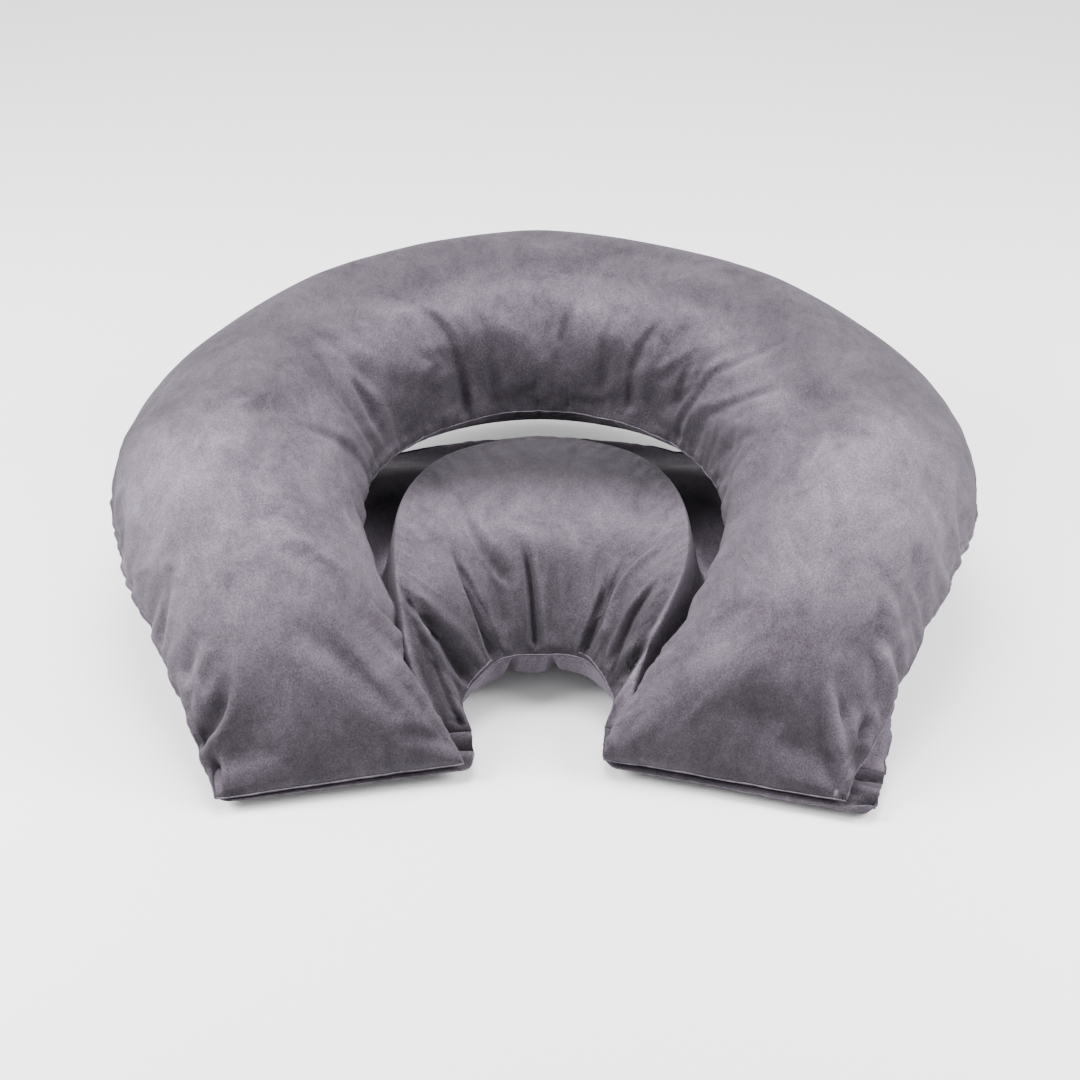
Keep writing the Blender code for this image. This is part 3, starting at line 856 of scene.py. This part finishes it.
def lower_base():
    """The lower cushion's panels, pressed under the upper one, and how far each point is in the crown."""
    rings, sections, shares, on_top = cushion_rings(LOWER_SECTIONS, LOWER)
    from_rim = (sections[:, RIM, None] - shares) * section_widths(sections)[:, None]
    outer_x = np.abs(sections[:, OUTER_PLAN][:, :1])
    from_rim += CROWN_CORNER * np.exp(-((outer_x - CROWN_CORNER_X) / CROWN_CORNER_HALF) ** 2)
    inside = from_rim / RIM_RUN + 0.5
    lid = meeting_height(rings[:, :, 1]) - 0.5 * MEET_GAP
    valley_half = np.where(inside > VALLEY_AT, VALLEY_HALF, VALLEY_FAR_HALF)
    valley = VALLEY_SHARE * np.exp(-((inside - VALLEY_AT) / valley_half) ** 2)
    ceiling = lid * (1.0 - valley) + (CROWN_TOP - lid) * smooth_step(inside)
    pressed = soft_min(rings[:, :, 2], ceiling, PANEL_BLEND)
    half = LOWER.around // 2
    rings[:, 1:half, 2] = pressed[:, 1:half]
    rings = push_belly(rings, sections, shares, on_top)
    rings[:, :, 2] = np.maximum(rings[:, :, 2], 0.0)
    return as_panels(rings), inside[:, :half + 1]


def add_cushion(name, panels, materials, top_painted_shade, bottom_painted_shade):
    """Add the finished cushion, with the painted shade and light at each vertex."""
    cover, top_index, bottom_index = add_panels(name, panels, materials)
    pressed = np.zeros(len(cover.data.vertices))
    pressed[bottom_index] = bottom_painted_shade
    pressed[top_index] = top_painted_shade
    store_painted_shade(cover, pressed)
    return cover


def fold_painted_shade(depths):
    """Painted shade in a fold, and stronger painted light on a ridge."""
    return FOLD_PAINTED_SHADE * np.where(depths < 0.0, RIDGE_LIGHT_GAIN * depths, depths)


def upper_painted_shade(panel):
    """Painted shade of the upper panel at each point: darker where positive, painted light where
    negative.
    """
    across = np.linspace(0.0, 1.0, panel.shape[1])[None, :]
    y = panel[:, :, 1]
    bow = smooth_step((y - BOW_Y[0]) / (BOW_Y[1] - BOW_Y[0]))
    leg = smooth_step((y - LEG_Y[0]) / (LEG_Y[1] - LEG_Y[0]))
    outer = PAINTED_SHADE_BOW_OUTER * smooth_step((across - BOW_TURNS_AT) / BOW_OUTER_RUN)
    inner = PAINTED_SHADE_BOW_INNER * smooth_step((BOW_TURNS_AT - across) / BOW_INNER_RUN)
    arm = PAINTED_LIGHT_ARM * smooth_step((across - ARM_FROM) / ARM_RUN)
    return bow * (outer + inner) + (1.0 - bow) * (1.0 - leg) * arm + leg * PAINTED_SHADE_LEG


def edge_fade(panel, first, last):
    """Rises from 0 at two edges of a panel to 1 a short way in."""
    return smooth_step(np.minimum(distances(panel, first), distances(panel, last)) / SEAM_FADE_RUN)


def raised(panel, gathers, folds, shown):
    """Raise a top panel's gathers and press in its folds, but not at the seams and sewn ends."""
    height = gathers - eased_along(folds) * edge_fade(panel, panel[:, :1], panel[:, -1:])
    height = height * shown * edge_fade(panel, panel[:1], panel[-1:])
    return panel + panel_normals(panel) * height[:, :, None]


def make_upper(material):
    """The horseshoe cushion."""
    base = upper_base()
    top = wrinkled("upper_sim", base, np.zeros(base.top.shape[:2]), UPPER_WRINKLES)
    panels = Panels(twice_as_fine(top), twice_as_fine(base.bottom))
    panels = wavy_seams(panels, UPPER_SEED, UPPER_INNER_WAVE, UPPER_OUTER_WAVE)
    top, bottom = wavy_ends(panels, UPPER_SEED)
    folds = fold_depths(top, UPPER_FOLDS)
    # Painted shade and light of the upper panel, by place and in its folds.
    nap = upper_painted_shade(top) + fold_painted_shade(folds)
    gathers = seam_puckers(top, UPPER_SEED, UPPER_INNER_PUCKER, UPPER_OUTER_PUCKER)
    panels = Panels(raised(top, gathers, folds, 1.0), bottom)
    return add_cushion("upper_cover", panels, [material], nap, 0.0), panels


def make_lower(material, shaded_material):
    """The lower cushion."""
    base, inside = lower_base()
    held = 1.0 - smooth_step((inside - RIM_HELD) / RIM_FREE_RUN)
    top = wrinkled("lower_sim", base, held, LOWER_WRINKLES)
    panels = Panels(twice_as_fine(top), twice_as_fine(base.bottom))
    top, bottom = wavy_seams(panels, LOWER_SEED, 0.0, LOWER_OUTER_WAVE)
    from_rim = twice_as_fine(inside)
    shown = smooth_step(from_rim)
    gathers = seam_puckers(top, LOWER_SEED, LOWER_INNER_PUCKER, 0.0)
    folds = fold_depths(top, LOWER_FOLDS)
    panels = Panels(raised(top, gathers, folds, shown), gathered_belly(bottom))
    x, y = panels.top[:, :, 0], panels.top[:, :, 1]
    # Painted shade and light of the lower panel: the valley round the crown is shaded, lighter at its
    # front; the crown's far part under the bow and its front towards the arch are shaded; folds are
    # shaded and ridges lit.
    in_valley = 1.0 - smooth_step((from_rim - VALLEY_SHADE_FROM) / VALLEY_SHADE_RUN)
    in_hole = smooth_step((from_rim - HOLE_FROM) / HOLE_RUN)
    shade_under_bow = BOW_PAINTED_SHADE * smooth_step((y - BOW_FROM_Y) / BOW_RUN)
    middle = np.exp(-(x / ARCH_SHADE_HALF) ** 2)
    middle = np.maximum(middle, smooth_step((ARCH_SIDE_Y - y) / ARCH_RUN))
    shade_at_arch = ARCH_PAINTED_SHADE * (ARCH_SIDE_SHARE + (1.0 - ARCH_SIDE_SHARE) * middle)
    shade_at_arch *= smooth_step((ARCH_FROM_Y - y) / ARCH_RUN)
    far = VALLEY_NEAR_PAINTED_LIGHT + (1.0 - VALLEY_NEAR_PAINTED_LIGHT) * smooth_step((y - VALLEY_FAR_Y) / BOW_RUN)
    pressed = in_valley * far + (1.0 - in_valley) * np.maximum(shade_under_bow, shade_at_arch)
    pressed = pressed * in_hole + fold_painted_shade(folds) * shown
    # Painted light on the lower panel seen below the arch, slight painted shade beside it.
    belly_x = np.abs(panels.bottom[:, :, 0])
    seen_below = smooth_step((ARCH_HALF_WIDTH + ARCH_FADE - belly_x) / ARCH_FADE)
    below_arch_light = BELLY_SIDE_PAINTED_SHADE + (BELLY_PAINTED_LIGHT - BELLY_SIDE_PAINTED_SHADE) * seen_below
    cover = add_cushion("lower_cover", panels, [material, shaded_material], pressed, below_arch_light)
    # Faces deep in the valley's painted shade take the copy of the velvet with less sheen.
    shaded_copy_mask = in_valley * in_hole
    uses_shaded_copy = (shaded_copy_mask[:-1, :-1] + shaded_copy_mask[1:, 1:]) / 2.0 >= SHADED_COPY_FROM
    slots = np.zeros(len(cover.data.polygons), int)
    slots[:uses_shaded_copy.size] = uses_shaded_copy.ravel()
    cover.data.polygons.foreach_set("material_index", slots)
    return cover, panels


def gathered_belly(panel):
    """Gather the lower panel below the arch seam into uneven lobes."""
    seam = panel[:, 0]
    swing = np.sin(np.pi * np.clip(distances(panel, seam[:, None]) / LOBE_REACH, 0.0, 1.0))
    gather = sum(np.exp(-((seam[:, 0] - place) / LOBE_GATHER) ** 2) for place in GATHER_PLACES)
    between = np.abs(rough_line(run_lengths(seam), LOBE_PITCH, LOWER_SEED + LOBE_SEED))
    lobes = LOBE_LIFT * gather - LOBE_DROP * (1.0 - np.minimum(gather, 1.0)) * between
    near = smooth_step((ARCH_HALF_WIDTH - np.abs(seam[:, 0])) / ARCH_FADE)
    lobes *= near * (seam[:, 1] > ARCH_FRONT_Y - ARCH_DEEP)
    moved = panel.copy()
    moved[:, :, 2] += lobes[:, None] * swing
    moved[:, :, 1] += LOBE_FORWARD * np.maximum(lobes, 0.0)[:, None] * swing
    return moved


def add_sheet(name, middle, material):
    """Add a thin closed sheet round a grid of points."""
    normals = panel_normals(middle)
    points = np.concatenate([middle + normals * side * WEB_THICKNESS / 2.0 for side in (1.0, -1.0)])
    points = points.reshape(-1, 3)
    rows, columns = middle.shape[:2]
    under = rows * columns
    index = np.arange(under).reshape(rows, columns)
    above = turned_over(quads(index))
    loop = np.concatenate([index[0, :], index[1:, -1], index[-1, -2::-1], index[-2:0:-1, 0]])
    following = np.roll(loop, -1)
    rim = np.stack([loop, loop + under, following + under, following], axis=1)
    faces = np.concatenate([above, above[:, ::-1] + under, rim])
    first, second, third = (points[number] for number in above[0, :3])
    if np.dot(np.cross(second - first, third - first), normals[0, 0]) < 0.0:
        faces = faces[:, ::-1]
    sheet = add_object(name, points, faces.tolist(), [material])
    sheet.data.set_sharp_from_angle(angle=SHARP_ANGLE)
    return sheet


def between(first, second, share):
    """Points that lie this share of the way from the first to the second."""
    return np.array(first) * (1.0 - share) + np.array(second) * share


def make_web(name, web, material, seed):
    """The unfilled cloth between the two cushions' sewn ends, creased across its depth."""
    along = np.linspace(0.0, 1.0, WEB_CELLS_ALONG + 1)[:, None]
    back = between(web.back_in, web.back_out, along) + WEB_TUCK
    front = between(web.front_in, web.front_out, along)
    length = float(np.linalg.norm(front[-1] - front[0]))
    from_end = np.clip(length * np.minimum(along, 1.0 - along) / WEB_ROUND, 0.0, 1.0)
    rounded = WEB_ROUND * (1.0 - np.sqrt(1.0 - (1.0 - from_end) ** 2))
    uneven = np.abs(rough_line(length * along[:, 0], WEB_EDGE_PITCH, seed + WEB_EDGE_SEED))[:, None]
    depth = np.linalg.norm(front - back, axis=1, keepdims=True)
    front = back + (front - back) * (1.0 - (rounded + WEB_EDGE_WAVE * uneven) / depth)
    deep = np.linspace(0.0, 1.0, WEB_CELLS_DEEP + 1)[None, :, None]
    middle = between(back[:, None], front[:, None], deep)
    run = run_lengths(middle[:, 0])
    creases = rough_line(run, WEB_CREASE_PITCH, seed)[:, None] * np.sin(np.pi * deep[0].T)
    middle[:, :, 2] += WEB_CREASE * creases
    folds = fold_depths(middle, WEB_FOLDS)
    middle[:, :, 2] -= folds
    sheet = add_sheet(name, middle, material)
    # Painted shade in the web's folds, and painted light on its ridges.
    store_painted_shade(sheet, np.tile(WEB_FOLD_PAINTED_SHADE * folds.ravel(), 2))
    return sheet, middle[:, -1]


def tube_shell(core, ahead, size, sides):
    """Points and faces of a closed round tube about a line, given the line's direction."""
    side = unit(np.cross(ahead, (0.0, 0.0, 1.0)))
    up = np.cross(side, ahead)
    turn = 2.0 * np.pi * np.arange(sides) / sides
    ring = side[:, None] * np.cos(turn)[:, None] + up[:, None] * np.sin(turn)[:, None]
    points = (core[:, None] + ring * size[:, None, None]).reshape(-1, 3)
    index = np.arange(len(points)).reshape(-1, sides)
    faces = turned_over(quads(np.concatenate([index, index[:, :1]], axis=1))).tolist()
    return points, faces + [index[0, ::-1].tolist(), index[-1].tolist()]


def stitch_row(name, line, material):
    """A row of short stitches of thread, each a small arched tube."""
    run = run_lengths(line)
    steps = np.linspace(0.0, 1.0, STITCH_STEPS)
    arch = np.sin(np.pi * steps)
    size = STITCH_RADIUS * (STITCH_THIN_END + (1.0 - STITCH_THIN_END) * arch)
    points, faces = [], []
    for start in np.arange(STITCH_PITCH, run[-1] - STITCH_PITCH, STITCH_PITCH):
        places = start + STITCH_LENGTH * steps
        core = np.stack([np.interp(places, run, line[:, k]) for k in range(3)], axis=1)
        core[:, 2] += STITCH_RADIUS * (STITCH_ARCH * arch - STITCH_SINK)
        stitch, stitch_faces = tube_shell(core, unit(core[-1:] - core[:1]), size, STITCH_SIDES)
        faces.extend([len(points) + number for number in face] for face in stitch_faces)
        points.extend(stitch)
    return add_object(name, np.array(points), faces, [material])


def seam_line(name, line, material, seed):
    """A thin uneven line of pile along a seam; the lighter velvet it is given paints a highlight on it.
    """
    size = SEAM_RADIUS * (1.0 + SEAM_ROUGHNESS * rough_line(run_lengths(line), SEAM_ROUGH_PITCH, seed))
    points, faces = tube_shell(line, unit(np.gradient(line, axis=0)), size, TUBE_SIDES)
    return add_object(name, points, faces, [material])


def node(tree, kind, **values):
    """Add a shader node and set the inputs that are named."""
    made = tree.nodes.new(kind)
    made.location = (NODE_STEP * len(tree.nodes), 0.0)
    for name, value in values.items():
        made.inputs[name.replace("_", " ")].default_value = value
    return made


def noise(tree, values, where):
    """Add a noise texture that is read at these coordinates."""
    made = node(tree, "ShaderNodeTexNoise", **values)
    tree.links.new(where, made.inputs["Vector"])
    return made.outputs["Fac"]


def ranged(tree, source, from_range, to_range=(0.0, 1.0)):
    """Map numbers from one range to another, and hold them in it."""
    made = node(tree, "ShaderNodeMapRange", From_Min=from_range[0], From_Max=from_range[1],
                To_Min=to_range[0], To_Max=to_range[1])
    tree.links.new(source, made.inputs["Value"])
    return made.outputs["Result"]


def product(tree, first, second):
    """Multiply two numbers."""
    made = node(tree, "ShaderNodeMath")
    made.operation = "MULTIPLY"
    tree.links.new(first, made.inputs[0])
    tree.links.new(second, made.inputs[1])
    return made.outputs["Value"]


def velvet(name, shade=1.0, sheen=VELVET_SHEEN):
    """Brushed velvet: cloudy nap, fine pile, soft sheen, with painted shade by slope and the stored
    painted shade and light of each vertex.
    """
    material = bpy.data.materials.new(name)
    material.use_nodes = True
    tree = material.node_tree
    shader = tree.nodes["Principled BSDF"]
    shader.inputs["Sheen Weight"].default_value = sheen
    for socket, value in VELVET_SURFACE.items():
        shader.inputs[socket].default_value = value
    place = node(tree, "ShaderNodeTexCoord").outputs["Object"]
    stretch = node(tree, "ShaderNodeMapping", Rotation=STROKE_TURN, Scale=STROKE_STRETCH)
    tree.links.new(place, stretch.inputs["Vector"])
    clouds = noise(tree, CLOUDS, place)
    strokes = noise(tree, STROKES, stretch.outputs["Vector"])
    pile = noise(tree, PILE, place)
    nap = node(tree, "ShaderNodeMix")
    nap.data_type = "RGBA"
    for socket, colour in (("A", VELVET_DARK), ("B", VELVET_LIGHT)):
        nap.inputs[socket].default_value = (*[value * shade for value in colour], 1.0)
    tree.links.new(ranged(tree, clouds, CLOUD_RANGE), nap.inputs["Factor"])
    brushed = ranged(tree, strokes, GRAIN_RANGE, STROKE_SHADES)
    grain = product(tree, brushed, ranged(tree, pile, GRAIN_RANGE, PILE_SHADES))
    # Painted shade by slope: faces that turn away from the painted light direction are darker.
    surface = node(tree, "ShaderNodeNewGeometry")
    facing = node(tree, "ShaderNodeVectorMath")
    facing.operation = "DOT_PRODUCT"
    facing.inputs[1].default_value = PAINTED_LIGHT_DIRECTION
    tree.links.new(surface.outputs["Normal"], facing.inputs[0])
    slope_shade = ranged(tree, facing.outputs["Value"], SLOPE_RANGE, (SLOPE_PAINTED_SHADE, 1.0))
    # The stored painted shade darkens the colour, and painted light lightens it.
    stored_shade = node(tree, "ShaderNodeAttribute")
    stored_shade.attribute_name = "painted_light_and_shade"
    pressed = ranged(tree, stored_shade.outputs["Fac"], (-1.0, 1.0), (2.0 - DARKEST_PAINTED_SHADE, DARKEST_PAINTED_SHADE))
    shades = product(tree, grain, product(tree, slope_shade, pressed))
    colour = node(tree, "ShaderNodeVectorMath")
    colour.operation = "SCALE"
    tree.links.new(nap.outputs["Result"], colour.inputs[0])
    tree.links.new(shades, colour.inputs["Scale"])
    tree.links.new(colour.outputs["Vector"], shader.inputs["Base Color"])
    soft = node(tree, "ShaderNodeBump", **STROKE_BUMP)
    fine = node(tree, "ShaderNodeBump", **PILE_BUMP)
    tree.links.new(strokes, soft.inputs["Height"])
    tree.links.new(pile, fine.inputs["Height"])
    tree.links.new(soft.outputs["Normal"], fine.inputs["Normal"])
    tree.links.new(fine.outputs["Normal"], shader.inputs["Normal"])
    return material


def make_floor():
    """A large plain pale floor under the pillow."""
    bpy.ops.mesh.primitive_plane_add(size=FLOOR_SIZE, location=(0.0, 0.0, 0.0))
    floor = bpy.context.object
    floor.name = "floor"
    material = bpy.data.materials.new("pale_floor")
    material.use_nodes = True
    shader = material.node_tree.nodes["Principled BSDF"]
    shader.inputs["Base Color"].default_value = FLOOR_COLOUR
    shader.inputs["Roughness"].default_value = FLOOR_ROUGHNESS
    floor.data.materials.append(material)


def add_aimed(name, data, place, aim):
    """Add a light or a camera at its place, turned to its aim."""
    made = bpy.data.objects.new(name, data)
    bpy.context.collection.objects.link(made)
    made.location = place
    made.rotation_euler = (Vector(aim) - Vector(place)).to_track_quat("-Z", "Y").to_euler()
    return made


def make_lights():
    """Soft light from above and behind, softer light from both sides, and a weak fill."""
    for name, (place, aim, size, power) in LAMPS.items():
        data = bpy.data.lights.new(name, "AREA")
        data.shape = "DISK"
        data.size = size
        data.energy = power
        add_aimed(name, data, place, aim)
    world = bpy.data.worlds.new("studio")
    world.use_nodes = True
    background = world.node_tree.nodes["Background"]
    background.inputs["Color"].default_value = (1.0, 1.0, 1.0, 1.0)
    background.inputs["Strength"].default_value = WORLD_STRENGTH
    bpy.context.scene.world = world


def make_camera():
    """The camera at the photograph's angle."""
    data = bpy.data.cameras.new("camera")
    data.sensor_fit = "HORIZONTAL"
    data.angle = np.radians(CAMERA_ANGLE)
    data.shift_x = 0.5 - TARGET_PIXEL[0] / FRAME_PIXELS
    data.shift_y = TARGET_PIXEL[1] / FRAME_PIXELS - 0.5
    lift = np.radians(CAMERA_LIFT)
    target = np.array([0.0, 0.0, TARGET_HEIGHT]) - CENTRE
    away = np.array([0.0, -np.cos(lift), np.sin(lift)]) * CAMERA_DISTANCE
    bpy.context.scene.camera = add_aimed("camera", data, target + away, target)


def part_of(line, from_x, to_x):
    """The points of a line that lie between two places across the pillow."""
    return line[(line[:, 0] > from_x) & (line[:, 0] < to_x)]


def main():
    """Dress the whole pillow."""
    make_camera()
    make_lights()
    make_floor()
    cover = velvet("cover_velvet")
    # A copy of the velvet with less sheen, where the valley round the crown is painted as shade.
    shaded_cover = velvet("velvet_shaded_copy", sheen=SHADED_COPY_SHEEN)
    # A darker copy of the velvet: painted shade on the webs under the upper cushion's ends.
    web_shaded_cloth = velvet("web_velvet_painted_shade", WEB_PAINTED_SHADE)
    # A lighter copy of the velvet: painted highlight along the seam lines.
    seam_highlight_cloth = velvet("seam_velvet_painted_highlight", SEAM_PAINTED_HIGHLIGHT)
    thread = velvet("thread", THREAD_SHADE)
    upper, upper_panels = make_upper(cover)
    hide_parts("upper_cushion")
    lower, lower_panels = make_lower(cover, shaded_cover)
    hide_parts("lower_cushion")
    for cushion in (upper, lower):
        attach(cushion, "root")
    for seed, (name, web) in enumerate(WEBS.items()):
        sheet, edge = make_web("web_" + name, web, web_shaded_cloth, seed)
        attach(sheet, "root")
        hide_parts(name)
        end = lower_panels.top[0] if name == "hinge_left" else lower_panels.top[-1]
        stitches = stitch_row("stitches_" + name, end + STITCH_OFFSET, thread)
        rolled = seam_line("seam_" + name, edge, seam_highlight_cloth, seed + ROLLED_SEED)
        for line in (stitches, rolled):
            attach(line, "root")
    flange = distances(lower_panels.top, lower_panels.top[:, :1])
    column = int(np.argmax(flange[len(flange) // 2] > FLANGE_WIDTH))
    arch = lower_panels.top[:, column]
    arch = arch[arch[:, 1] > FLANGE_END_Y]
    lines = {
        "seam_flange_left": part_of(arch, *FLANGE_LEFT),
        "seam_flange_right": part_of(arch, *FLANGE_RIGHT),
        "seam_upper_hole": upper_panels.top[:, 0],
        "seam_upper_rim": upper_panels.top[:, -1],
        "seam_upper_left_end": upper_panels.top[0],
        "seam_upper_right_end": upper_panels.top[-1],
        "seam_lower_arch": lower_panels.top[:, 0],
    }
    for seed, (name, line) in enumerate(lines.items()):
        seam = seam_line(name, line, seam_highlight_cloth, seed)
        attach(seam, "root")


main()
